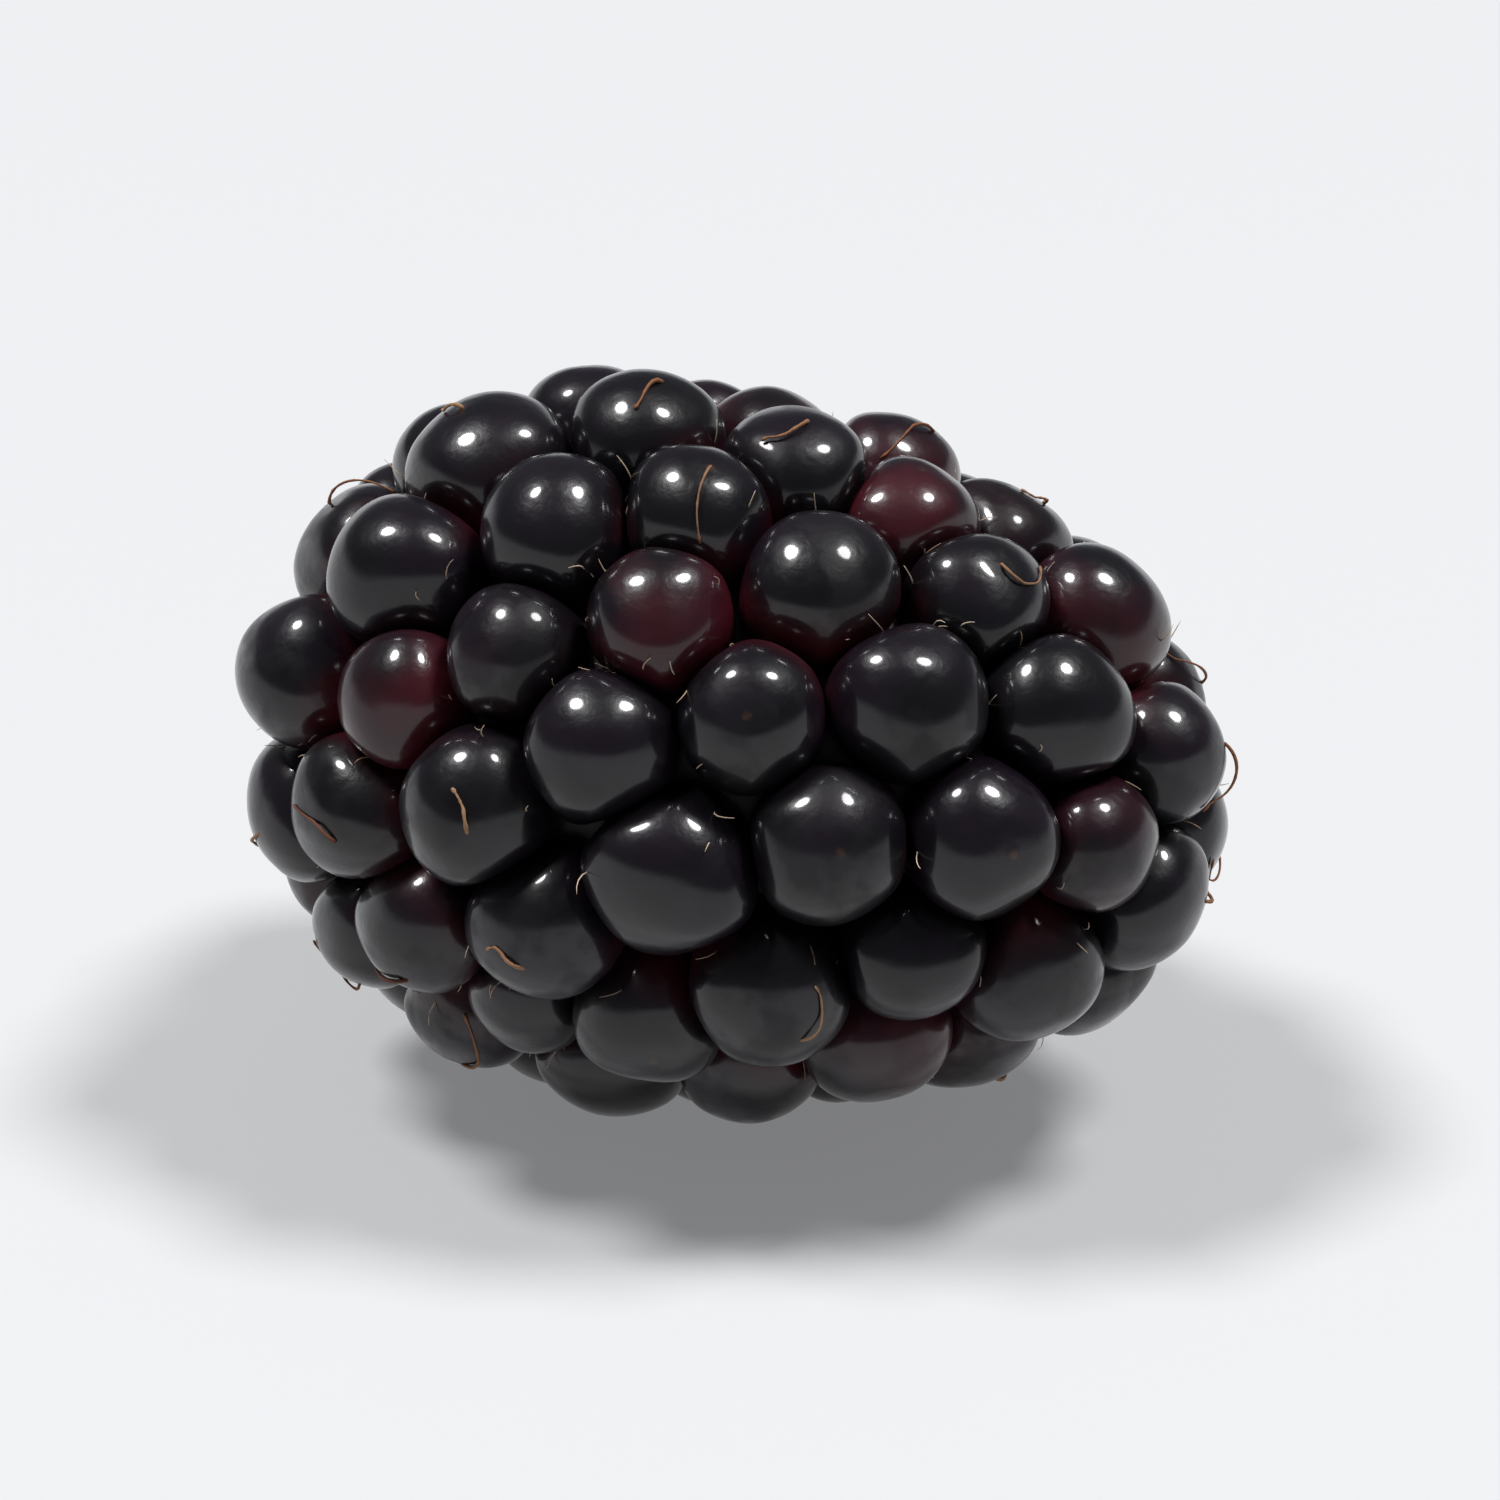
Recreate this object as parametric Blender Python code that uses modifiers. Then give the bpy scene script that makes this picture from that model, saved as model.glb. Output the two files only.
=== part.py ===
"""A ripe bramble berry, picked and lying on its side.

The fruit grew as one piece: plump drupelets packed in spirals round a receptacle, which stays inside the
berry when it is picked and shows at the stem end as a shallow round scar. Metres, +Z up. The berry's long
axis lies along X with the tip at +X, and the origin is on the surface it lies on, under its middle.
"""

import math
import random

import bmesh
import bpy
import numpy as np
from mathutils import Euler, Matrix, Vector

NODE = "bramble_berry"

# The seat is the egg-shaped surface that carries the middle of every drupelet.
SEAT_HALF_LENGTH = 0.0119
SEAT_RADIUS = 0.0080
SEAT_TAPER = 0.15  # how much wider the stem half is than the tip half
SEAT_BLUNTNESS = 0.90  # 1 is an ellipse, less has squarer shoulders
STEM_ANGLE = 0.50  # where the first drupelets sit, measured from the stem end

DRUPELETS = 86
GOLDEN_TURN = math.pi * (3 - math.sqrt(5))
ELBOW_ROOM = 0.0044  # drupelets of usual size that are closer than this push each other away
SIZE_SPREAD = 0.085
TIP_SIZE = 0.86  # size of a drupelet at the tip, where 1 is the usual size
SETTLING_ROUNDS = 90
SETTLING_STEP = 0.15
NEAR_AXIS = 0.0004  # closer to the axis than this, a push no longer turns a drupelet faster

# Half sizes of a drupelet that nothing presses on.
HALF_ALONG = 0.00238
HALF_ACROSS = 0.00226
HALF_DEPTH = 0.00268
LEAN = math.radians(7)  # towards the tip
LEAN_SPREAD = math.radians(6)
CREASE = 0.00008  # gap left between two drupelets
FIRMNESS = 8.0  # a higher number gives flatter pressed sides
DRUPELET_ROUNDNESS = 2
REACH = 0.0066  # drupelets closer than this press on each other
SEED = 11

# The receptacle fills the berry up to the bottom of the creases.
CORE_RISE = 0.0
CORE_STEPS = 10
CORE_TURNS = 24
SCAR_RIM = (0.0030, -0.0112)  # radius, and place along the berry's axis
SCAR_HOLLOW = (0.0021, -0.0107)
SCAR_MIDDLE = (0.0007, -0.0110)

# How the berry lies: turned about its own axis, and tipped until its belly is level.
LYING_TURN = math.radians(147.2)
LYING_TIP = math.radians(2.0)
CONTACT_SQUASH = 0.00028  # how far the lowest drupelets press flat


def seat_point(angle, turn):
    """A point of the seat: angle runs from 0 at the stem end to pi at the tip, turn goes round the axis."""
    share = max(math.sin(angle), 0.0) ** SEAT_BLUNTNESS
    radius = SEAT_RADIUS * share * (1 + SEAT_TAPER * math.cos(angle))
    return Vector((radius * math.cos(turn), radius * math.sin(turn), -SEAT_HALF_LENGTH * math.cos(angle)))


def seat_slope(angle, turn):
    """How fast the point moves with the angle."""
    step = 0.002
    ahead = min(angle + step, math.pi)
    behind = max(angle - step, 0.0)
    return (seat_point(ahead, turn) - seat_point(behind, turn)) / (ahead - behind)


def even_angles(count):
    """Angles that share the seat's area evenly between this many drupelets."""
    angles = np.linspace(STEM_ANGLE, math.pi, 600)
    rings = [seat_point(a, 0).x * seat_slope(a, 0).length for a in angles]
    area = np.concatenate([[0.0], np.cumsum((np.array(rings[1:]) + np.array(rings[:-1])) / 2)])
    shares = (np.arange(count) + 0.5) / count
    return np.interp(shares * area[-1], area, angles)


def wrapped(angle, turn):
    """The same place with the angle kept between the first row and the tip."""
    if angle > math.pi:
        return 2 * math.pi - angle, turn + math.pi
    return max(angle, STEM_ANGLE), turn


def settle(places, sizes):
    """Lets crowded drupelets push each other along the seat until they are evenly packed."""
    for _ in range(SETTLING_ROUNDS):
        points = [seat_point(*place) for place in places]
        moved = []
        for i, (angle, turn) in enumerate(places):
            push = Vector()
            for j, other in enumerate(points):
                apart = points[i] - other
                room = ELBOW_ROOM * (sizes[i] + sizes[j]) / 2 - apart.length
                if i != j and room > 0:
                    push += apart.normalized() * room * SETTLING_STEP
            slope = seat_slope(angle, turn)
            across = Vector((-math.sin(turn), math.cos(turn), 0))
            radius = max(math.hypot(points[i].x, points[i].y), NEAR_AXIS)
            angle += push.dot(slope) / slope.length_squared
            turn += push.dot(across) / radius
            moved.append(wrapped(angle, turn))
        places = moved
    return places


def drupelet_axes(angle, turn, lean, sway):
    """Columns: towards the tip, round the berry, and outwards, with a small lean."""
    along = seat_slope(angle, turn).normalized()
    across = Vector((-math.sin(turn), math.cos(turn), 0))
    outward = across.cross(along).normalized()
    axes = Matrix((along, across, outward)).transposed()
    return Matrix.Rotation(lean, 3, across) @ Matrix.Rotation(sway, 3, along) @ axes


def plan_drupelets():
    """Every drupelet's middle, axes, half sizes and the neighbours that press on it."""
    dice = random.Random(SEED)
    angles = even_angles(DRUPELETS)
    sizes = []
    for angle in angles:
        towards_tip = max(0.0, -math.cos(angle)) ** 3
        usual = 1 + (TIP_SIZE - 1) * towards_tip
        sizes.append(usual * (1 + SIZE_SPREAD * max(-1.6, min(1.6, dice.gauss(0, 1)))))
    places = [(angle, k * GOLDEN_TURN) for k, angle in enumerate(angles)]
    places = settle(places, sizes)
    plan = []
    for (angle, turn), size in zip(places, sizes):
        lean = LEAN + LEAN_SPREAD * dice.uniform(-1, 1)
        sway = LEAN_SPREAD * dice.uniform(-1, 1)
        stretch = dice.uniform(0.94, 1.07)
        half = Vector((HALF_ALONG * stretch, HALF_ACROSS / stretch, HALF_DEPTH * dice.uniform(0.95, 1.05)))
        axes = drupelet_axes(angle, turn, lean, sway)
        plan.append({"middle": seat_point(angle, turn), "axes": axes, "half": half * size, "size": size})
    for one in plan:
        one["pressed"] = pressing_planes(one, plan)
    return plan


def pressing_planes(one, plan):
    """(direction, distance) of the plane where each near neighbour stops this drupelet."""
    planes = []
    for other in plan:
        apart = other["middle"] - one["middle"]
        if other is not one and apart.length < REACH:
            share = one["size"] / (one["size"] + other["size"])
            planes.append((apart.normalized(), apart.length * share - CREASE / 2))
    return planes


def drupelet_reach(one, direction):
    """Distance from the drupelet's middle to its skin: an ellipsoid pressed flat by its neighbours."""
    local = one["axes"].transposed() @ direction
    spread = math.sqrt(sum((part / half) ** 2 for part, half in zip(local, one["half"])))
    total = spread**FIRMNESS
    for normal, distance in one["pressed"]:
        facing = direction.dot(normal)
        if facing > 0:
            total += (facing / distance) ** FIRMNESS
    return total ** (-1 / FIRMNESS)


def add_drupelet(mesh, one):
    """One closed drupelet, from a sphere whose pole points outwards."""
    made = bmesh.ops.create_icosphere(mesh, subdivisions=DRUPELET_ROUNDNESS, radius=1.0)
    for vertex in made["verts"]:
        direction = (one["axes"] @ vertex.co).normalized()
        vertex.co = one["middle"] + direction * drupelet_reach(one, direction)


def new_object(name, mesh, collection):
    """Writes a bmesh to a new object in a collection."""
    data = bpy.data.meshes.new(name)
    mesh.to_mesh(data)
    mesh.free()
    made = bpy.data.objects.new(name, data)
    collection.objects.link(made)
    return made


def receptacle(name, collection):
    """The core as a turned solid, with the shallow scar left by picking at its stem end."""
    mesh = bmesh.new()
    angles = np.linspace(math.pi, STEM_ANGLE - 0.06, CORE_STEPS)
    outline = []
    for angle in angles:
        point = seat_point(angle, 0)
        slope = seat_slope(angle, 0).normalized()
        outward = Vector((0, 1, 0)).cross(slope)
        outline.append(point + outward * CORE_RISE)
    outline[0] = Vector((0, 0, outline[0].z))
    for radius, height in (SCAR_RIM, SCAR_HOLLOW, SCAR_MIDDLE):
        outline.append(Vector((radius, 0, height)))
    outline.append(Vector((0, 0, SCAR_MIDDLE[1])))
    vertices = [mesh.verts.new(point) for point in outline]
    for first, second in zip(vertices, vertices[1:]):
        mesh.edges.new((first, second))
    core = new_object(name, mesh, collection)
    turned = core.modifiers.new("turned", "SCREW")
    turned.steps = turned.render_steps = CORE_TURNS
    turned.use_merge_vertices = True
    turned.merge_threshold = 0.00001
    turned.use_smooth_shade = True
    return core


def boolean(target, tool, operation):
    """Adds a Boolean with another object to the target."""
    change = target.modifiers.new(operation.lower(), "BOOLEAN")
    change.operation = operation
    change.object = tool
    change.solver = "EXACT"


def as_helper(obj):
    """Keeps a cutter or a joined shape out of renders."""
    obj.hide_render = True
    obj.display_type = "WIRE"


def skin_material():
    """Glossy, almost black skin with a plum tint."""
    made = bpy.data.materials.new("ripe_skin")
    made.use_nodes = True
    shader = made.node_tree.nodes["Principled BSDF"]
    shader.inputs["Base Color"].default_value = (0.016, 0.008, 0.018, 1)
    shader.inputs["Roughness"].default_value = 0.22
    shader.inputs["Metallic"].default_value = 0.0
    return made


def lying_pose():
    """Turns the berry's own axis, +Z, to lie along +X."""
    return Euler((0, math.radians(90) + LYING_TIP, 0)).to_matrix() @ Matrix.Rotation(LYING_TURN, 3, "Z")


def lying_place(points, pose):
    """Moves the turned berry over the origin, with its lowest skin pressed into the surface."""
    turned = np.array([pose @ point for point in points])
    low = turned.min(axis=0)
    high = turned.max(axis=0)
    middle = -(low + high) / 2
    return Matrix.Translation((middle[0], middle[1], -low[2] - CONTACT_SQUASH)) @ pose.to_4x4()


def surface_block(collection):
    """A cutter that fills the space under the surface the berry lies on."""
    mesh = bmesh.new()
    side = 4 * SEAT_HALF_LENGTH
    bmesh.ops.create_cube(mesh, size=side, matrix=Matrix.Translation((0, 0, -side / 2)))
    return new_object("surface_block", mesh, collection)


def clear_scene():
    for obj in list(bpy.data.objects):
        bpy.data.objects.remove(obj)


def main():
    clear_scene()
    parts = bpy.data.collections.new(NODE)
    helpers = bpy.data.collections.new("helpers")
    for collection in (parts, helpers):
        bpy.context.scene.collection.children.link(collection)

    mesh = bmesh.new()
    for one in plan_drupelets():
        add_drupelet(mesh, one)
    points = [vertex.co.copy() for vertex in mesh.verts]
    drupelets = new_object("drupelets", mesh, helpers)
    as_helper(drupelets)

    berry = receptacle(NODE, parts)
    berry.matrix_world = lying_place(points, lying_pose())
    drupelets.matrix_world = berry.matrix_world
    boolean(berry, drupelets, "UNION")
    block = surface_block(helpers)
    as_helper(block)
    boolean(berry, block, "DIFFERENCE")
    berry.data.materials.append(skin_material())


main()
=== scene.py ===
"""The looks of a ripe bramble berry, picked and lying on its side.

Glossy, nearly black drupelets are packed in spirals round a receptacle, with a few dried styles curled over
them and fine hairs in the creases. The picked end shows the receptacle's pale scar. Lengths are in
millimetres of the berry until a mesh is finished: MM turns them into metres of the frame.
"""

import math
import random

import bmesh
import bpy
import numpy as np
from mathutils import Euler, Matrix, Vector, noise


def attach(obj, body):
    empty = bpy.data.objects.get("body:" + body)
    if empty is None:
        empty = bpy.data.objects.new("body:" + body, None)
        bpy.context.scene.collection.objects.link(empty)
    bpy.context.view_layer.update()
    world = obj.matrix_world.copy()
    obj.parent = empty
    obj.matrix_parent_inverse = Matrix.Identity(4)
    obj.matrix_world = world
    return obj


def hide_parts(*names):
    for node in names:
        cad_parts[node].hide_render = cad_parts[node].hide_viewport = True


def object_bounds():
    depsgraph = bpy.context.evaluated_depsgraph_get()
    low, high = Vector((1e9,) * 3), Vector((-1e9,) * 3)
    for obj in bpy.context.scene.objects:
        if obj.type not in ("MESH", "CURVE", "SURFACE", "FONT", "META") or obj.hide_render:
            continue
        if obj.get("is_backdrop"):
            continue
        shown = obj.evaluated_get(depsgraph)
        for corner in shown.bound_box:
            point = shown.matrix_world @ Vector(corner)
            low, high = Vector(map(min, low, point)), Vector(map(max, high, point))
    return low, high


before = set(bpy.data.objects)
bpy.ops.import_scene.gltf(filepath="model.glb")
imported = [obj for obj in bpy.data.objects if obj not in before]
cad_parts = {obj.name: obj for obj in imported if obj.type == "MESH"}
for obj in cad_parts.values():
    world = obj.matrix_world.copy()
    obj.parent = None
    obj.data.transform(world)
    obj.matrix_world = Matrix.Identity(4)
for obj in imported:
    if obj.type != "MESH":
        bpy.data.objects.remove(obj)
CAD_LOW, CAD_HIGH = (Vector(corner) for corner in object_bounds())
NODE = "bramble_berry"

BERRY_LENGTH = 27.165
MM = (CAD_HIGH.x - CAD_LOW.x) / BERRY_LENGTH

# The seat is the egg-shaped surface that carries the middle of every drupelet.
SEAT_HALF_LENGTH = 11.9
SEAT_RADIUS = 8.0
SEAT_TAPER = 0.15  # how much wider the stem half is than the tip half
SEAT_BLUNTNESS = 0.90  # 1 is an ellipse, less has squarer shoulders
STEM_ANGLE = 0.50  # where the first drupelets sit, measured from the stem end
SLOPE_STEP = 0.002
AREA_STEPS = 600

DRUPELETS = 86
GOLDEN_TURN = math.pi * (3 - math.sqrt(5))
ELBOW_ROOM = 4.4  # drupelets of usual size that are closer than this push each other away
SIZE_SPREAD = 0.085
SIZE_LIMIT = 1.6  # the most that a size strays from the usual, in spreads
TIP_SIZE = 0.86  # size of a drupelet at the tip, where 1 is the usual size
SETTLING_ROUNDS = 90
SETTLING_STEP = 0.15
NEAR_AXIS = 0.4  # closer to the axis than this, a push no longer turns a drupelet faster
LAYOUT_SEED = 11

# Half sizes of a drupelet that nothing presses on.
HALF_ALONG = 2.58
HALF_ACROSS = 2.46
HALF_DEPTH = 2.70
LEAN = math.radians(7)  # towards the tip
LEAN_SPREAD = math.radians(6)
STRETCH = (0.94, 1.07)  # longer and narrower, or the other way round
DEPTH = (0.95, 1.05)
NARROWING = 0.27  # how much wider or narrower a drupelet gets towards the berry's tip
PLUMPNESS = (0.92, 1.06)
REDNESS = (-0.44, 0.42)  # middle and spread: a drupelet below 0 is black
STYLE_TILT = (0.10, 0.42)  # how far the style's place leans from the crown towards the tip
STYLE_SWAY = 0.35
CREASE = -0.16  # skins meet where they press hardest
FIRMNESS = 7.0  # a higher number gives flatter pressed sides
REACH = 6.6  # drupelets closer than this press on each other
FINE_ROUNDNESS = 5
BROAD_LUMPS = (0.044, 1.3)  # height as a share of the drupelet's size, and how many fit on it
FINE_LUMPS = (0.004, 4.0)
LUMP_SPREAD = 50.0  # how far apart drupelets take their lumps from, so that no two are alike
DIMPLE = (0.060, 0.17)  # depth in millimetres and half width in radians, round the style's place
NUB = (0.045, 0.055)
MARKED = 0.4  # share of the drupelets that show where their style was
BANDS = ("drupelets_stem_end", "drupelets_shoulder", "drupelets_belly", "drupelets_tip")

# How the berry lies: turned about its own axis, and tipped until its belly is level.
LYING_TURN = math.radians(147.2)
LYING_TIP = math.radians(2.0)
CONTACT_SQUASH = 0.28
CONTACT_ROUNDING = 0.05


# ---------------------------------------------------------------- where the drupelets sit


def seat_point(angle, turn):
    """A point of the seat: angle runs from 0 at the stem end to pi at the tip, turn goes round the axis."""
    share = max(math.sin(angle), 0.0) ** SEAT_BLUNTNESS
    radius = SEAT_RADIUS * share * (1 + SEAT_TAPER * math.cos(angle))
    return Vector((radius * math.cos(turn), radius * math.sin(turn), -SEAT_HALF_LENGTH * math.cos(angle)))


def seat_slope(angle, turn):
    """How fast the point moves with the angle."""
    ahead = min(angle + SLOPE_STEP, math.pi)
    behind = max(angle - SLOPE_STEP, 0.0)
    return (seat_point(ahead, turn) - seat_point(behind, turn)) / (ahead - behind)


def seat_axes(angle, turn):
    """Columns: towards the tip, round the berry, and outwards."""
    along = seat_slope(angle, turn).normalized()
    across = Vector((-math.sin(turn), math.cos(turn), 0))
    return Matrix((along, across, across.cross(along).normalized())).transposed()


def even_angles(count):
    """Angles that share the seat's area evenly between this many drupelets."""
    angles = np.linspace(STEM_ANGLE, math.pi, AREA_STEPS)
    rings = [seat_point(a, 0).x * seat_slope(a, 0).length for a in angles]
    area = np.concatenate([[0.0], np.cumsum((np.array(rings[1:]) + np.array(rings[:-1])) / 2)])
    shares = (np.arange(count) + 0.5) / count
    return np.interp(shares * area[-1], area, angles)


def wrapped(angle, turn):
    """The same place with the angle kept between the first row and the tip."""
    if angle > math.pi:
        return 2 * math.pi - angle, turn + math.pi
    return max(angle, STEM_ANGLE), turn


def settle(places, sizes):
    """Lets crowded drupelets push each other along the seat until they are evenly packed."""
    for _ in range(SETTLING_ROUNDS):
        points = [seat_point(*place) for place in places]
        moved = []
        for i, (angle, turn) in enumerate(places):
            push = Vector()
            for j, other in enumerate(points):
                apart = points[i] - other
                room = ELBOW_ROOM * (sizes[i] + sizes[j]) / 2 - apart.length
                if i != j and room > 0:
                    push += apart.normalized() * room * SETTLING_STEP
            slope = seat_slope(angle, turn)
            across = Vector((-math.sin(turn), math.cos(turn), 0))
            radius = max(math.hypot(points[i].x, points[i].y), NEAR_AXIS)
            angle += push.dot(slope) / slope.length_squared
            turn += push.dot(across) / radius
            moved.append(wrapped(angle, turn))
        places = moved
    return places


def scatter(dice, most):
    """A random vector whose parts are at most this long."""
    return Vector([dice.uniform(-most, most) for _ in range(3)])


class Drupelet:
    """One bead of the berry: where it sits, which way it faces, its half sizes and what presses on it."""

    def __init__(self, place, size, dice):
        self.size = size
        self.middle = seat_point(*place)
        lean = LEAN + LEAN_SPREAD * dice.uniform(-1, 1)
        sway = LEAN_SPREAD * dice.uniform(-1, 1)
        stretch = dice.uniform(*STRETCH)
        deep = dice.uniform(*DEPTH)
        self.half = Vector((HALF_ALONG * stretch, HALF_ACROSS / stretch, HALF_DEPTH * deep)) * size
        axes = seat_axes(*place)
        along, across = axes.col[0], axes.col[1]
        self.axes = Matrix.Rotation(lean, 3, across) @ Matrix.Rotation(sway, 3, along) @ axes
        self.pressed = []

    def press(self, others):
        """Finds the plane where each near neighbour stops this drupelet."""
        for other in others:
            apart = other.middle - self.middle
            if other is not self and apart.length < REACH:
                share = self.size / (self.size + other.size)
                self.pressed.append((apart.normalized(), apart.length * share - CREASE / 2))

    def add_looks(self, dice):
        """What differs between drupelets but doesn't move them: shape of the tip, ripeness and bloom."""
        self.narrowing = dice.uniform(-NARROWING, NARROWING)
        self.half.z *= dice.uniform(*PLUMPNESS)
        self.lump_place = scatter(dice, LUMP_SPREAD)
        self.redness = max(0.0, dice.gauss(*REDNESS))
        self.bloom = dice.random()
        self.marked = dice.random() < MARKED
        heading = dice.uniform(-STYLE_SWAY, STYLE_SWAY)
        tilt = dice.uniform(*STYLE_TILT)
        self.style_spot = self.axes @ Vector(
            (math.sin(tilt) * math.cos(heading), math.sin(tilt) * math.sin(heading), math.cos(tilt))
        )

    def reach(self, directions):
        """Distances from the middle to the skin: an ellipsoid pressed flat by its neighbours."""
        local = directions @ np.array(self.axes)
        wide = np.array(self.half) * np.ones_like(local)
        wide[:, 1] *= 1 - self.narrowing * local[:, 0]
        total = np.sqrt(((local / wide) ** 2).sum(1)) ** FIRMNESS
        for normal, distance in self.pressed:
            facing = np.clip(directions @ np.array(normal), 0, None)
            total += (facing / distance) ** FIRMNESS
        return total ** (-1 / FIRMNESS)


def plan_drupelets():
    """Every drupelet of the berry, in the order of its spiral from the stem end to the tip."""
    dice = random.Random(LAYOUT_SEED)
    angles = even_angles(DRUPELETS)
    sizes = []
    for angle in angles:
        towards_tip = max(0.0, -math.cos(angle)) ** 3
        usual = 1 + (TIP_SIZE - 1) * towards_tip
        sizes.append(usual * (1 + SIZE_SPREAD * max(-SIZE_LIMIT, min(SIZE_LIMIT, dice.gauss(0, 1)))))
    places = [(angle, k * GOLDEN_TURN) for k, angle in enumerate(angles)]
    places = settle(places, sizes)
    plan = [Drupelet(place, size, dice) for place, size in zip(places, sizes)]
    looks_dice = random.Random(LAYOUT_SEED + 1)
    for one in plan:
        one.press(plan)
        one.add_looks(looks_dice)
    return plan


# ---------------------------------------------------------------- from berry millimetres to the frame


class Lie:
    """Turns the upright berry onto its side, over the middle of the CAD box, and into metres."""

    def __init__(self, skins):
        upright = Euler((0, math.radians(90) + LYING_TIP, 0)).to_matrix()
        self.turn = np.array(upright @ Matrix.Rotation(LYING_TURN, 3, "Z"))
        turned = skins @ self.turn.T
        low, high = turned.min(0), turned.max(0)
        cad_middle = (CAD_LOW + CAD_HIGH) / 2 / MM
        self.shift = np.array((cad_middle.x, cad_middle.y, 0)) - (low + high) / 2
        self.shift[2] = -low[2] - CONTACT_SQUASH

    def __call__(self, points):
        placed = np.asarray(points) @ self.turn.T + self.shift
        height = placed[:, 2]
        placed[:, 2] = (height + np.sqrt(height**2 + CONTACT_ROUNDING**2)) / 2
        return placed * MM


def set_points(mesh, points):
    mesh.vertices.foreach_set("co", np.asarray(points, np.float32).ravel())
    mesh.update()


def set_attribute(mesh, name, values):
    layer = mesh.attributes.new(name, "FLOAT", "POINT")
    layer.data.foreach_set("value", np.asarray(values, np.float32))


def new_piece(name, shape, material):
    """Writes a bmesh to a smooth-shaded object that wears one material, at the origin."""
    mesh = bpy.data.meshes.new(name)
    shape.to_mesh(mesh)
    shape.free()
    mesh.shade_smooth()
    mesh.materials.append(material)
    piece = bpy.data.objects.new(name, mesh)
    bpy.context.scene.collection.objects.link(piece)
    return piece


def hand_over(piece):
    """Makes a finished piece part of the berry."""
    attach(piece, "root")
    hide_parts(NODE)


# ---------------------------------------------------------------- drupelets


def unit_sphere_directions():
    ball = bmesh.new()
    bmesh.ops.create_icosphere(ball, subdivisions=FINE_ROUNDNESS, radius=1.0)
    directions = np.array([vertex.co[:] for vertex in ball.verts])
    ball.free()
    return directions / np.linalg.norm(directions, axis=1)[:, None]


def lumps(one, directions):
    """Shallow unevenness of a drupelet's skin, as a share of its size."""
    broad = [noise.noise(one.lump_place + Vector(d) * BROAD_LUMPS[1]) for d in directions]
    fine = [noise.noise(one.lump_place - Vector(d) * FINE_LUMPS[1]) for d in directions]
    return BROAD_LUMPS[0] * np.array(broad) + FINE_LUMPS[0] * np.array(fine)


def from_style_spot(one, directions):
    """Angle between each direction and the spot where the style grew, or a wide angle where none shows."""
    away = np.arccos(np.clip(directions @ np.array(one.style_spot), -1, 1))
    return away if one.marked else np.full_like(away, math.pi)


def drupelet_skin(one, directions):
    """Points of one drupelet's skin, with the small dimple and nub that its style left."""
    away = from_style_spot(one, directions)
    radii = one.reach(directions) * (1 + lumps(one, directions))
    radii -= DIMPLE[0] * np.exp(-((away / DIMPLE[1]) ** 2))
    radii += NUB[0] * np.exp(-((away / NUB[1]) ** 2))
    return np.array(one.middle) + directions * radii[:, None]


def build_band(name, members, skins, directions, lie, material):
    """A closed mesh of the drupelets of one stretch of the berry."""
    shape = bmesh.new()
    for _ in members:
        bmesh.ops.create_icosphere(shape, subdivisions=FINE_ROUNDNESS, radius=1.0)
    piece = new_piece(name, shape, material)
    set_points(piece.data, np.concatenate([lie(skin) for skin in skins]))
    crown = [(skin - np.array(one.middle)) @ np.array(one.axes.col[2]) for one, skin in zip(members, skins)]
    each = len(directions)
    set_attribute(piece.data, "crown", np.concatenate(crown) / HALF_DEPTH)
    away = [from_style_spot(one, directions) for one in members]
    set_attribute(piece.data, "style_away", np.concatenate(away))
    set_attribute(piece.data, "redness", np.repeat([one.redness for one in members], each))
    set_attribute(piece.data, "bloom", np.repeat([one.bloom for one in members], each))
    hand_over(piece)


def build_drupelets(plan, lie, skins, directions, material):
    share = math.ceil(len(plan) / len(BANDS))
    for k, name in enumerate(BANDS):
        members = slice(k * share, (k + 1) * share)
        build_band(name, plan[members], skins[members], directions, lie, material)


# ---------------------------------------------------------------- receptacle and its scar

BED_SINK = 0.25  # how far the receptacle lies under the seat
BED_START = 0.44  # angle from the stem end where it meets the scar
BED_STEPS = 48
BED_TURNS = 96
BED_WRINKLES = ((0.10, 1.1), (0.05, 3.7))  # height and fineness
BED_FLATNESS = 0.5  # wrinkles move the bed's ends less than its sides
SCAR_RADIUS = 3.5
SCAR_HEIGHT = -11.7  # along the berry's axis
SCAR_BASE = -9.3
SCAR_TURNS = 240
SCAR_RINGS = 60
SCAR_FOOT = 1.12  # the scar's plug widens inside the berry, as a share of its radius
SCAR_WAIST = 1.05
SCAR_WALL = (1.6, 0.9, 0.3)  # depths under its face
SCAR_WOBBLE = (0.10, 1.7)
BUNDLES = 23  # torn strands in a ring round the pith
# Height, place and width of each ring of the scar, the last two as shares of its radius.
PITH = (0.42, 0, 0.13)
STRANDS = (0.34, 0.58, 0.07)
GROOVE = (0.22, 0.73, 0.06)
TORN_RIM = (0.30, 0.90, 0.07)
SCAR_DOME = 0.30
TORN = (0.7, 1.3, 3.1)  # usual height of what is torn, how much that varies round the scar, and how often
STRAND_DRIFT = 2.0
WALL_SHADE = 0.3  # how much further from the middle the wall's colours count, for each millimetre down
FIBRES = (0.10, 21.0)  # height and fineness
GRAINS = (0.08, 11.0)


def spun(profile, turns):
    """A closed turned solid round the Z axis from a profile whose ends lie on the axis."""
    shape = bmesh.new()
    spots = [shape.verts.new(point) for point in profile]
    edges = [shape.edges.new(pair) for pair in zip(spots, spots[1:])]
    bmesh.ops.spin(
        shape, geom=spots + edges, cent=(0, 0, 0), axis=(0, 0, 1), angle=math.tau, steps=turns, use_merge=True
    )
    bmesh.ops.remove_doubles(shape, verts=shape.verts, dist=0.001)
    bmesh.ops.recalc_face_normals(shape, faces=shape.faces)
    return shape


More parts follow.
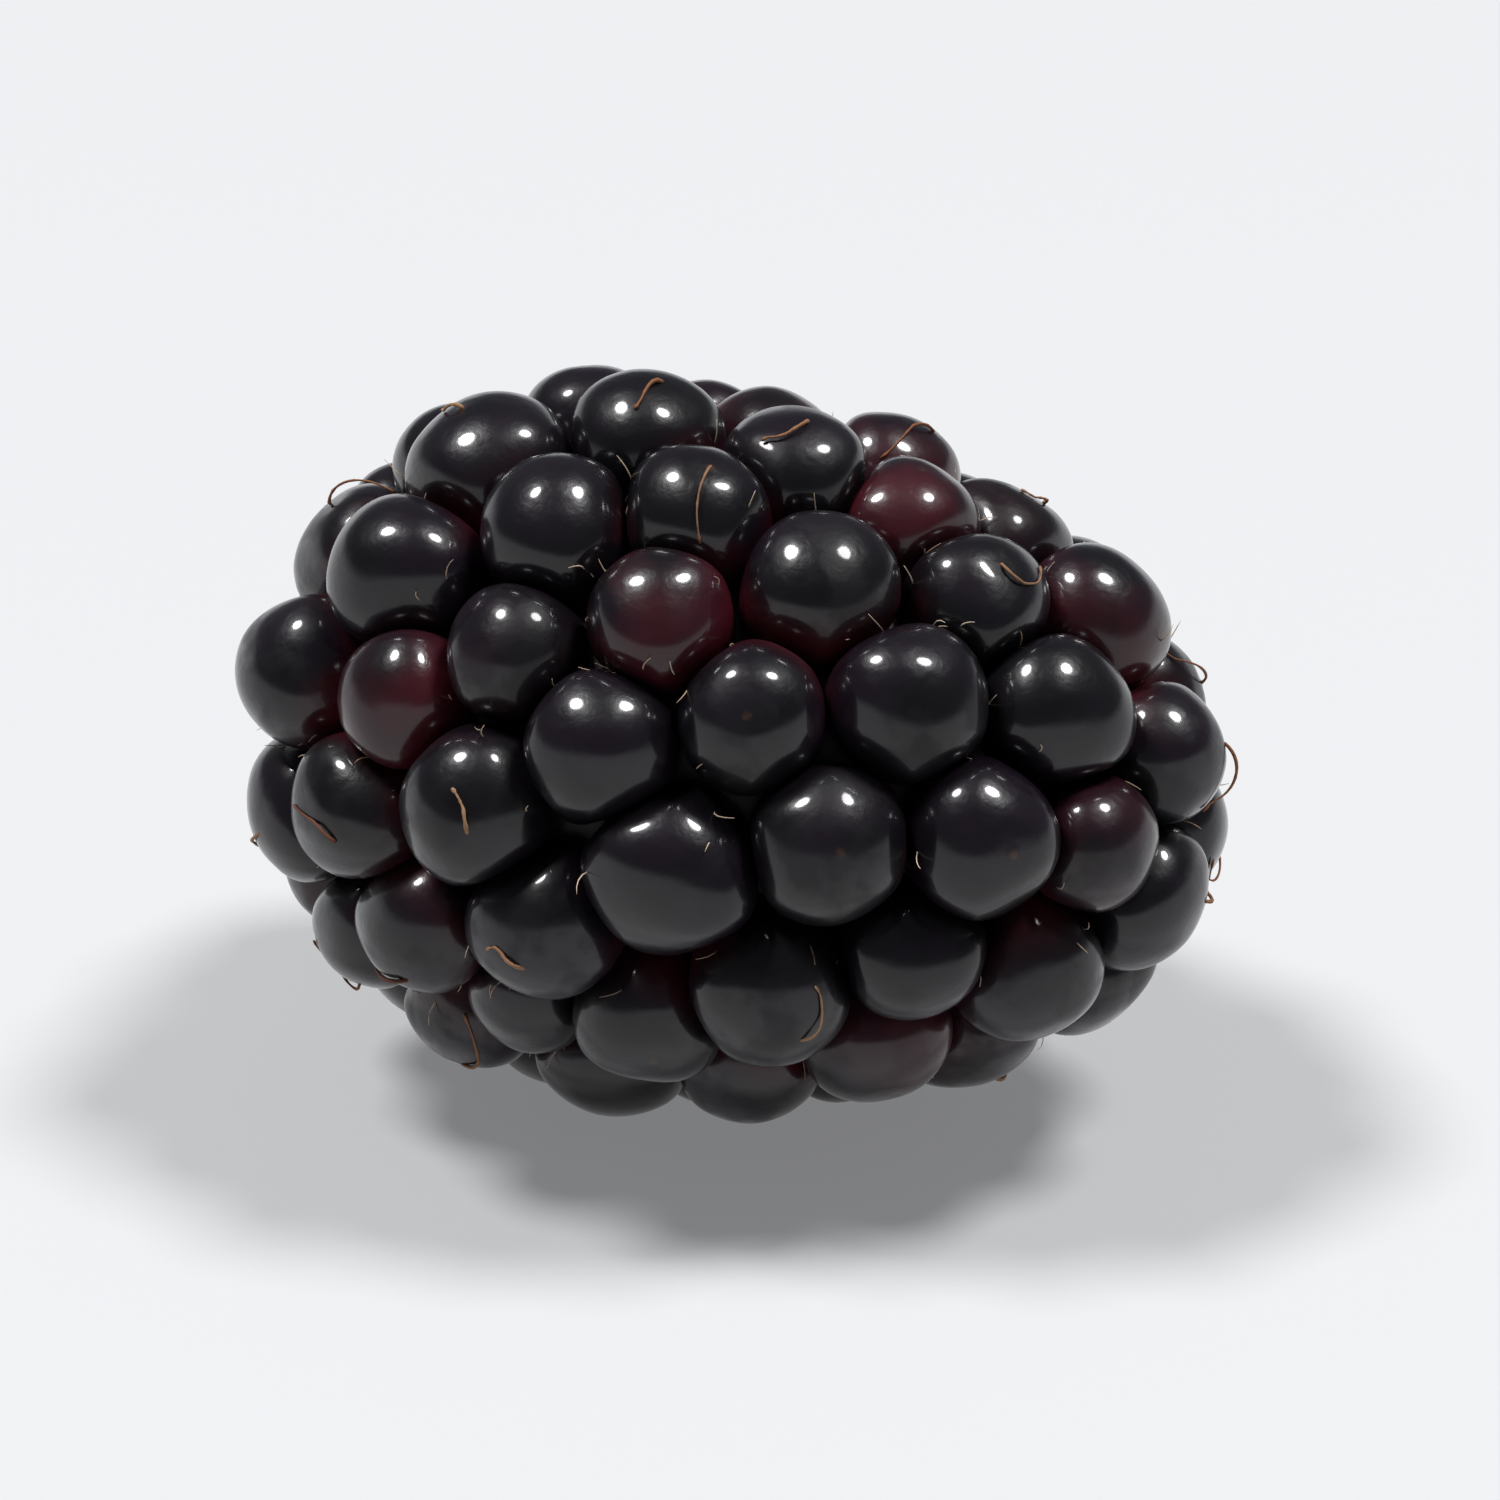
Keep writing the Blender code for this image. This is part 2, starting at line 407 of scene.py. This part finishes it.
def build_receptacle(lie, material):
    """The core at the bottom of the creases, coloured nearly black: painted shade of the deep creases."""
    profile = [Vector((0, 0, SCAR_BASE))]
    for angle in np.linspace(BED_START, math.pi, BED_STEPS):
        outward = seat_axes(angle, 0).col[2]
        profile.append(seat_point(angle, 0) - outward * BED_SINK)
    profile[-1] = Vector((0, 0, profile[-1].z))
    shape = spun(profile, BED_TURNS)
    points = []
    for vertex in shape.verts:
        wrinkle = sum(height * noise.noise(vertex.co * fineness) for height, fineness in BED_WRINKLES)
        outward = Vector((vertex.co.x, vertex.co.y, vertex.co.z * BED_FLATNESS)).normalized()
        points.append(vertex.co + outward * wrinkle)
    piece = new_piece("receptacle", shape, material)
    set_points(piece.data, lie(points))
    hand_over(piece)


def hump(share, height, middle, width):
    """A smooth ridge of this height round the middle."""
    return height * math.exp(-(((share - middle) / width) ** 2))


def scar_relief(share, turn):
    """Height of the scar over its face: a sunk pith, a ring of torn strands, a groove and a torn rim."""
    around = Vector((math.cos(turn), math.sin(turn), 0))
    strand = max(0.0, math.cos(BUNDLES * turn + STRAND_DRIFT * noise.noise(around * 2))) ** 2
    torn = TORN[0] + TORN[1] * noise.noise(around * TORN[2] + Vector((0, 0, 5)))
    relief = SCAR_DOME * (1 - share**2) - hump(share, *PITH)
    relief += strand * torn * hump(share, *STRANDS)
    relief -= hump(share, *GROOVE)
    relief += torn * hump(share, *TORN_RIM)
    relief += FIBRES[0] * noise.noise(around * FIBRES[1] + Vector((0, 0, share * 2))) * share
    relief += GRAINS[0] * noise.noise(around * share * GRAINS[1])
    return relief


def build_scar(lie, material):
    """The pale end of the receptacle, torn where the stem was pulled off."""
    radii = SCAR_RADIUS * np.linspace(0, 1, SCAR_RINGS)
    profile = [Vector((0, 0, SCAR_BASE)), Vector((SCAR_RADIUS * SCAR_FOOT, 0, SCAR_BASE))]
    profile += [Vector((SCAR_RADIUS * SCAR_WAIST, 0, SCAR_HEIGHT + depth)) for depth in SCAR_WALL]
    profile += [Vector((radius, 0, SCAR_HEIGHT)) for radius in radii[::-1]]
    shape = spun(profile, SCAR_TURNS)
    points = []
    away = []
    for vertex in shape.verts:
        share = math.hypot(vertex.co.x, vertex.co.y) / SCAR_RADIUS
        turn = math.atan2(vertex.co.y, vertex.co.x)
        point = vertex.co.copy()
        if point.z < SCAR_HEIGHT + min(SCAR_WALL) / 2:
            point.z -= scar_relief(share, turn)
        around = Vector((math.cos(turn), math.sin(turn), 0))
        wobble = 1 + SCAR_WOBBLE[0] * noise.noise(around * SCAR_WOBBLE[1])
        points.append(Vector((point.x * wobble, point.y * wobble, point.z)))
        away.append(share + max(0.0, vertex.co.z - SCAR_HEIGHT) * WALL_SHADE)
    piece = new_piece("stem_scar", shape, material)
    set_points(piece.data, lie(points))
    set_attribute(piece.data, "from_middle", away)
    hand_over(piece)


# ---------------------------------------------------------------- dried styles and hairs

STYLES = 30
STYLE_LENGTHS = (0.9, 3.0)
STYLE_RADII = (0.040, 0.062)
STYLE_STEPS = 16
STYLE_CLEARANCE = 0.05
STYLE_SAG = 0.16  # how strongly a style bends back to the skins
STYLE_ROOT = 0.08  # depth in the skin
STYLE_KINK = 0.9  # in radians, as are the two below
STYLE_CURL = 0.10
STYLE_RESTLESSNESS = 0.08
STYLE_UNEVENNESS = 0.22
STYLE_LIFT = 0.5  # the steepest start
STYLE_TAPER = (1.1, 0.70)  # width at its root, and how much of it is lost by the end
STIGMA = (0.65, 0.96, 0.05)
HAIRS = 340
HAIR_RADII = (0.020, 0.019, 0.017, 0.013, 0.007)
HAIR_LENGTHS = (0.45, 1.1)
HAIR_RISE = (0.35, 0.95)  # how far up the side of a drupelet it shows, towards the crown
HAIR_ROOT = 0.05
HAIR_STRAYING = 0.3
HAIR_LEAN = 0.5
HAIR_SPLAY = 0.4
HAIR_BEND = 0.35
STYLE_SIDES = 7
HAIR_SIDES = 4
NEIGHBOURHOOD = 4.0  # a drupelet whose middle is further away than this can't be touched


def clear_of_skins(point, plan, clearance):
    """The point, moved out of any drupelet that it lies in."""
    for _ in range(3):
        for one in plan:
            apart = point - one.middle
            if not 0 < apart.length <= NEIGHBOURHOOD:
                continue
            outside = one.reach(np.array([apart.normalized()]))[0] + clearance
            if apart.length < outside:
                point = one.middle + apart.normalized() * outside
    return point


def tube(shape, path, radii, sides):
    """Adds a closed tapered tube along a path, one ring for each of its points."""
    last = len(path) - 1
    ways = [(path[min(k + 1, last)] - path[max(k - 1, 0)]).normalized() for k in range(len(path))]
    facing = Vector((0, 0, 1)).rotation_difference(ways[0]).to_matrix().to_4x4()
    place = Matrix.Translation(path[0]) @ facing
    cap = bmesh.ops.create_circle(shape, cap_ends=True, segments=sides, radius=radii[0], matrix=place)
    edges = list(cap["verts"][0].link_faces[0].edges)
    for k in range(1, len(path)):
        grown = bmesh.ops.extrude_edge_only(shape, edges=edges)["geom"]
        edges = [part for part in grown if isinstance(part, bmesh.types.BMEdge) and part.is_boundary]
        spots = [part for part in grown if isinstance(part, bmesh.types.BMVert)]
        bend = ways[k - 1].rotation_difference(ways[k]).to_matrix().to_4x4()
        change = bend @ Matrix.Scale(radii[k] / radii[k - 1], 4) @ Matrix.Translation(-path[k - 1])
        bmesh.ops.transform(shape, matrix=Matrix.Translation(path[k]) @ change, verts=spots)
    bmesh.ops.contextual_create(shape, geom=edges)


def style_path(one, plan, dice):
    """A dried style that starts at a drupelet's crown and curls over its neighbours."""
    step = dice.uniform(*STYLE_LENGTHS) / STYLE_STEPS
    outward = one.style_spot.copy()
    point = one.middle + outward * one.reach(np.array([outward]))[0]
    turn = dice.uniform(0, math.tau)
    heading = one.axes @ Vector((math.cos(turn), math.sin(turn), dice.uniform(0.0, STYLE_LIFT)))
    curl = dice.uniform(-STYLE_CURL, STYLE_CURL)
    kink = dice.randrange(4, STYLE_STEPS)
    path = [point - outward * STYLE_ROOT, point]
    for k in range(STYLE_STEPS):
        point = clear_of_skins(point + heading.normalized() * step, plan, STYLE_CLEARANCE)
        settled = (point - path[-1]).normalized()
        curl += dice.uniform(-STYLE_RESTLESSNESS, STYLE_RESTLESSNESS)
        bend = curl + (dice.uniform(-STYLE_KINK, STYLE_KINK) if k == kink else 0)
        heading = Matrix.Rotation(bend, 3, outward) @ settled - outward * STYLE_SAG
        path.append(point)
    return path


def style_radii(count, thick, dice):
    """Thins out along the style, unevenly, and swells again at the dried stigma at its end."""
    radii = []
    for share in np.linspace(0, 1, count):
        dried = 1 + STYLE_UNEVENNESS * dice.uniform(-1, 1)
        radii.append(thick * (dried * (STYLE_TAPER[0] - STYLE_TAPER[1] * share) + hump(share, *STIGMA)))
    return radii


def build_threads(name, threads, sides, lie, material):
    """A piece of many closed tubes, each a path, its radii and a tone between 0 and 1."""
    shape = bmesh.new()
    tones = []
    for path, radii, tone in threads:
        before = len(shape.verts)
        tube(shape, path, radii, sides)
        tones += [tone] * (len(shape.verts) - before)
    bmesh.ops.recalc_face_normals(shape, faces=shape.faces)
    points = [vertex.co.copy() for vertex in shape.verts]
    piece = new_piece(name, shape, material)
    set_points(piece.data, lie(points))
    set_attribute(piece.data, "tone", tones)
    hand_over(piece)


def build_styles(plan, lie, material):
    """A few dried styles, as thin as thread, on drupelets all over the berry."""
    dice = random.Random(LAYOUT_SEED + 2)
    threads = []
    for one in dice.sample(plan, STYLES):
        path = style_path(one, plan, dice)
        threads.append((path, style_radii(len(path), dice.uniform(*STYLE_RADII), dice), dice.random()))
    build_threads("dried_styles", threads, STYLE_SIDES, lie, material)


def hair_path(one, dice):
    """A short fine hair that stands out of the crease beside a drupelet."""
    beside = dice.choice(one.pressed)[0]
    outward = one.axes.col[2]
    rise = dice.uniform(*HAIR_RISE)
    direction = (beside + outward * rise + scatter(dice, HAIR_STRAYING)).normalized()
    point = one.middle + direction * one.reach(np.array([direction]))[0]
    heading = (outward + direction * HAIR_SPLAY + scatter(dice, HAIR_LEAN)).normalized()
    bend = scatter(dice, HAIR_BEND)
    steps = len(HAIR_RADII) - 1
    step = dice.uniform(*HAIR_LENGTHS) / steps
    path = [point - direction * HAIR_ROOT]
    for _ in range(steps):
        path.append(path[-1] + heading * step)
        heading = (heading + bend).normalized()
    return path


def build_hairs(plan, lie, material):
    """Fine pale hairs of the receptacle that show in the creases."""
    dice = random.Random(LAYOUT_SEED + 3)
    threads = []
    for _ in range(HAIRS):
        path = hair_path(dice.choice(plan), dice)
        threads.append((path, HAIR_RADII, dice.random()))
    build_threads("crease_hairs", threads, HAIR_SIDES, lie, material)


# ---------------------------------------------------------------- materials

# Places of a colour mix node's sockets, which share their names with its other kinds.
MIX_FACTOR, MIX_FIRST, MIX_SECOND, MIX_RESULT = 0, 6, 7, 2

BLACK_SKIN = (0.0030, 0.0027, 0.0037)
PLUM_SKIN = (0.0062, 0.0036, 0.0068)
# Red near the creases: partly the skin's own thinner colour, partly painted glow of light shining through
# thin skin.
CREASE_RED_AND_GLOW = (0.050, 0.0045, 0.008)
WINE_SKIN = (0.075, 0.0070, 0.013)
STYLE_MARK = (0.030, 0.014, 0.008)
# Painted shade: the flesh in the creases is coloured nearly black wine, as the deep creases look.
SHADE_BLACK_FLESH = (0.006, 0.002, 0.003)
SHADE_WINE_FLESH = (0.022, 0.005, 0.006)
SCAR_CREAM = (0.47, 0.40, 0.23)
SCAR_PALE = (0.64, 0.58, 0.40)
PITH_BROWN = (0.34, 0.25, 0.12)
TORN_BROWN = (0.24, 0.125, 0.055)
JUICE = (0.050, 0.007, 0.013)
HAIR_TAN = (0.36, 0.24, 0.15)
HAIR_PALE = (0.55, 0.46, 0.36)
STYLE_ORANGE = (0.17, 0.058, 0.022)
STYLE_TAN = (0.27, 0.155, 0.085)
STYLE_RED = (0.075, 0.018, 0.012)


def add_node(tree, kind, **settings):
    """Adds a node. Settings are node properties, or inputs given by name with _ for a space."""
    node = tree.nodes.new(kind)
    for name, value in settings.items():
        if hasattr(node, name):
            setattr(node, name, value)
        else:
            node.inputs[name.replace("_", " ")].default_value = value
    return node


def group_sockets(group, inputs, outputs):
    for name, kind, value in inputs:
        socket = group.interface.new_socket(name, in_out="INPUT", socket_type=kind)
        if value is not None:
            socket.default_value = value
    for name, kind in outputs:
        group.interface.new_socket(name, in_out="OUTPUT", socket_type=kind)


def blotch_group():
    """Soft blotches at a chosen scale, from 0 to 1, with a chosen share of the surface inside them."""
    group = bpy.data.node_groups.new("blotches", "ShaderNodeTree")
    group_sockets(
        group,
        [
            ("Scale", "NodeSocketFloat", 300.0),
            ("Detail", "NodeSocketFloat", 3.0),
            ("From", "NodeSocketFloat", 0.4),
            ("To", "NodeSocketFloat", 0.6),
        ],
        [("Mask", "NodeSocketFloat")],
    )
    given = group.nodes.new("NodeGroupInput")
    place = add_node(group, "ShaderNodeTexCoord")
    pattern = add_node(group, "ShaderNodeTexNoise")
    sharpen = add_node(group, "ShaderNodeMapRange", interpolation_type="SMOOTHSTEP")
    result = group.nodes.new("NodeGroupOutput")
    group.links.new(place.outputs["Object"], pattern.inputs["Vector"])
    group.links.new(given.outputs["Scale"], pattern.inputs["Scale"])
    group.links.new(given.outputs["Detail"], pattern.inputs["Detail"])
    group.links.new(pattern.outputs["Fac"], sharpen.inputs["Value"])
    group.links.new(given.outputs["From"], sharpen.inputs["From Min"])
    group.links.new(given.outputs["To"], sharpen.inputs["From Max"])
    group.links.new(sharpen.outputs["Result"], result.inputs["Mask"])
    return group


class Finish:
    """A material under construction: its Principled shader and short ways to add and join nodes."""

    def __init__(self, name, **constants):
        self.material = bpy.data.materials.new(name)
        self.material.use_nodes = True
        self.tree = self.material.node_tree
        self.shader = self.tree.nodes["Principled BSDF"]
        for socket, value in constants.items():
            self.shader.inputs[socket.replace("_", " ")].default_value = value

    def join(self, output, target):
        self.tree.links.new(output, target)

    def attribute(self, name):
        return add_node(self.tree, "ShaderNodeAttribute", attribute_name=name).outputs["Fac"]

    def blotches(self, scale, low, high, detail=3.0):
        node = self.tree.nodes.new("ShaderNodeGroup")
        node.node_tree = BLOTCHES
        for name, value in (("Scale", scale), ("Detail", detail), ("From", low), ("To", high)):
            node.inputs[name].default_value = value
        return node.outputs["Mask"]

    def ramp(self, value, low, high, start=0.0, end=1.0):
        """Smoothly turns value, from low to high, into start to end."""
        node = add_node(self.tree, "ShaderNodeMapRange", interpolation_type="SMOOTHSTEP")
        for name, number in (("From Min", low), ("From Max", high), ("To Min", start), ("To Max", end)):
            node.inputs[name].default_value = number
        self.join(value, node.inputs["Value"])
        return node.outputs["Result"]

    def math(self, operation, first, second):
        node = add_node(self.tree, "ShaderNodeMath", operation=operation)
        for socket, value in zip(node.inputs, (first, second)):
            if isinstance(value, (int, float)):
                socket.default_value = value
            else:
                self.join(value, socket)
        return node.outputs["Value"]

    def mix(self, mask, first, second):
        """Mixes two colours, each an output or a plain colour, by a mask."""
        node = add_node(self.tree, "ShaderNodeMix", data_type="RGBA")
        self.join(mask, node.inputs[MIX_FACTOR])
        for socket, value in zip((node.inputs[MIX_FIRST], node.inputs[MIX_SECOND]), (first, second)):
            if isinstance(value, tuple):
                socket.default_value = (*value, 1)
            else:
                self.join(value, socket)
        return node.outputs[MIX_RESULT]

    def bump(self, height, strength, distance):
        node = add_node(self.tree, "ShaderNodeBump")
        node.inputs["Strength"].default_value = strength
        node.inputs["Distance"].default_value = distance
        self.join(height, node.inputs["Height"])
        self.join(node.outputs["Normal"], self.shader.inputs["Normal"])


def skin_finish():
    """Taut glossy skin, almost black with plum, wine-red where a drupelet is less ripe, and red on the sunk
    sides near the creases: partly the skin's own thinner colour, partly painted glow of light shining through
    the thin skin.
    """
    made = Finish("ripe_skin", Specular_IOR_Level=0.22, IOR=1.45, Coat_Roughness=0.10, Coat_IOR=1.42)
    crown = made.attribute("crown")
    away = made.attribute("style_away")
    redness = made.attribute("redness")
    bloom = made.attribute("bloom")
    base = made.mix(made.blotches(420, 0.38, 0.66), BLACK_SKIN, PLUM_SKIN)
    # Redder on the sunk sides near the creases: partly the skin's thinner colour, partly painted glow of
    # light shining through the thin skin.
    sunk = made.ramp(crown, 0.75, 0.1)
    thin_skin_red_and_glow = made.math("MULTIPLY", sunk, made.blotches(190, 0.50, 0.68))
    base = made.mix(thin_skin_red_and_glow, base, CREASE_RED_AND_GLOW)
    flush = made.math("ADD", made.blotches(260, 0.34, 0.66), made.ramp(crown, 1.0, 0.35, -0.25, 0.25))
    red = made.math("MULTIPLY", redness, flush)
    base = made.mix(red, base, WINE_SKIN)
    scar = made.ramp(away, 0.070, 0.035)
    base = made.mix(scar, base, STYLE_MARK)
    made.join(base, made.shader.inputs["Base Color"])
    haze = made.math("MULTIPLY", bloom, made.blotches(700, 0.42, 0.62, 5.0))
    made.join(made.ramp(haze, 0.0, 1.0, 0.34, 0.50), made.shader.inputs["Roughness"])
    gloss = made.ramp(haze, 0.0, 1.0, 0.80, 0.45)
    made.join(gloss, made.shader.inputs["Coat Weight"])
    grain = made.math("ADD", made.blotches(1500, 0.20, 0.80, 5.0), made.blotches(560, 0.15, 0.85))
    made.bump(grain, 0.30, 0.00005)
    return made.material


def bed_shade_finish():
    """Flesh at the bottom of the creases, coloured nearly black wine: painted shade of the deep creases."""
    made = Finish("crease_flesh_shade", Roughness=0.55)
    base = made.mix(made.blotches(500, 0.35, 0.65), SHADE_BLACK_FLESH, SHADE_WINE_FLESH)
    made.join(base, made.shader.inputs["Base Color"])
    made.bump(made.blotches(1800, 0.2, 0.8), 0.3, 0.00006)
    return made.material


def scar_finish():
    """Pale fibrous flesh, browned at its torn ring and stained with juice at its edge."""
    made = Finish("picked_scar", Roughness=0.62, Specular_IOR_Level=0.35)
    away = made.attribute("from_middle")
    base = made.mix(made.blotches(650, 0.35, 0.65), SCAR_CREAM, SCAR_PALE)
    pith = made.ramp(away, 0.20, 0.05)
    base = made.mix(pith, base, PITH_BROWN)
    ring = made.math("MULTIPLY", made.ramp(away, 0.66, 0.78), made.blotches(900, 0.25, 0.6))
    base = made.mix(ring, base, TORN_BROWN)
    juice = made.math("ADD", away, made.math("MULTIPLY", made.blotches(420, 0.3, 0.7), 0.22))
    base = made.mix(made.ramp(juice, 0.84, 1.10), base, JUICE)
    made.join(base, made.shader.inputs["Base Color"])
    made.bump(made.blotches(2600, 0.2, 0.8, 6.0), 0.5, 0.00008)
    return made.material


def hair_finish():
    """Pale hair, from tan to straw."""
    made = Finish("crease_hair", Roughness=0.5, Specular_IOR_Level=0.4)
    base = made.mix(made.attribute("tone"), HAIR_TAN, HAIR_PALE)
    made.join(base, made.shader.inputs["Base Color"])
    return made.material


def style_finish():
    """Dry, papery thread from tan to reddish brown."""
    made = Finish("dry_style", Roughness=0.68, Specular_IOR_Level=0.25)
    tone = made.attribute("tone")
    base = made.mix(made.ramp(tone, 0.2, 0.6), STYLE_ORANGE, STYLE_TAN)
    base = made.mix(made.ramp(tone, 0.75, 0.95), base, STYLE_RED)
    made.join(base, made.shader.inputs["Base Color"])
    made.bump(made.blotches(5200, 0.3, 0.7), 0.4, 0.00003)
    return made.material


# ---------------------------------------------------------------- studio

CAMERA_ELEVATION = math.radians(27)
CAMERA_AZIMUTH = math.radians(16)
CAMERA_LENS = 90.0
CAMERA_DISTANCE = 3.95  # in berry lengths
LAMP_AZIMUTH = math.radians(98)  # to either side of the camera
LAMP_ELEVATION = math.radians(64)
LAMP_WIDTH = math.radians(14.5)  # as seen from the berry
LAMP_STRENGTH = 3.1
HORIZON = (0.86, 0.88, 0.91, 1)
CEILING = (0.080, 0.084, 0.098, 1)
SKY_RISE = 0.22
FLOOR_HALF_SIZE = 30.0
FLOOR_GAP = 0.00002
FLOOR_COLOUR = (0.37, 0.373, 0.38, 1)
FLOOR_GLOW = 0.52  # softens the shadows


def floor_finish():
    made = Finish("pale_floor", Roughness=0.6, Specular_IOR_Level=0.3)
    made.shader.inputs["Base Color"].default_value = FLOOR_COLOUR
    made.shader.inputs["Emission Color"].default_value = FLOOR_COLOUR
    made.shader.inputs["Emission Strength"].default_value = FLOOR_GLOW
    return made.material


def build_floor():
    """A pale floor, a hair below the surface that the berry lies on."""
    shape = bmesh.new()
    bmesh.ops.create_grid(shape, x_segments=1, y_segments=1, size=FLOOR_HALF_SIZE)
    bmesh.ops.translate(shape, verts=shape.verts, vec=(0, 0, -FLOOR_GAP))
    floor = new_piece("floor", shape, floor_finish())
    floor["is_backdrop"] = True


def aim(obj, target):
    obj.rotation_euler = (target - obj.location).to_track_quat("-Z", "Y").to_euler()


def towards(azimuth, elevation):
    """A direction seen from the berry: azimuth 0 is the side that faces -Y."""
    flat = math.cos(elevation)
    return Vector((math.sin(azimuth) * flat, -math.cos(azimuth) * flat, math.sin(elevation)))


def add_lamp(name, azimuth, elevation):
    """A soft round lamp, so far away that the floor is lit evenly."""
    lamp = bpy.data.lights.new(name, "SUN")
    lamp.angle = LAMP_WIDTH
    lamp.energy = LAMP_STRENGTH
    holder = bpy.data.objects.new(name, lamp)
    bpy.context.scene.collection.objects.link(holder)
    holder.location = towards(azimuth, elevation)
    aim(holder, Vector())


def sky(world):
    """A pale horizon under a dark ceiling, so that skins stay black between the lamps' reflections."""
    tree = world.node_tree
    place = tree.nodes.new("ShaderNodeTexCoord")
    parts = tree.nodes.new("ShaderNodeSeparateXYZ")
    rise = add_node(tree, "ShaderNodeMapRange", interpolation_type="SMOOTHSTEP")
    rise.inputs["From Max"].default_value = SKY_RISE
    shade = add_node(tree, "ShaderNodeMix", data_type="RGBA")
    shade.inputs[MIX_FIRST].default_value = HORIZON
    shade.inputs[MIX_SECOND].default_value = CEILING
    tree.links.new(place.outputs["Generated"], parts.inputs["Vector"])
    tree.links.new(parts.outputs["Z"], rise.inputs["Value"])
    tree.links.new(rise.outputs["Result"], shade.inputs[MIX_FACTOR])
    tree.links.new(shade.outputs[MIX_RESULT], tree.nodes["Background"].inputs["Color"])


def build_studio(target, length):
    scene = bpy.context.scene
    for side, name in ((-1, "left_lamp"), (1, "right_lamp")):
        add_lamp(name, CAMERA_AZIMUTH + LAMP_AZIMUTH * side, LAMP_ELEVATION)
    world = bpy.data.worlds.new("studio")
    world.use_nodes = True
    sky(world)
    scene.world = world
    lens = bpy.data.cameras.new("camera")
    lens.lens = CAMERA_LENS
    lens.clip_start = 0.001
    camera = bpy.data.objects.new("camera", lens)
    scene.collection.objects.link(camera)
    camera.location = target + towards(CAMERA_AZIMUTH, CAMERA_ELEVATION) * length * CAMERA_DISTANCE
    aim(camera, target)
    scene.camera = camera
    scene.view_settings.view_transform = "Standard"


# ---------------------------------------------------------------- the berry

BLOTCHES = blotch_group()


def main():
    plan = plan_drupelets()
    directions = unit_sphere_directions()
    skins = [drupelet_skin(one, directions) for one in plan]
    lie = Lie(np.concatenate(skins))
    build_drupelets(plan, lie, skins, directions, skin_finish())
    build_receptacle(lie, bed_shade_finish())
    build_scar(lie, scar_finish())
    build_styles(plan, lie, style_finish())
    build_hairs(plan, lie, hair_finish())
    build_floor()
    target = (CAD_LOW + CAD_HIGH) / 2
    build_studio(target, CAD_HIGH.x - CAD_LOW.x)


main()
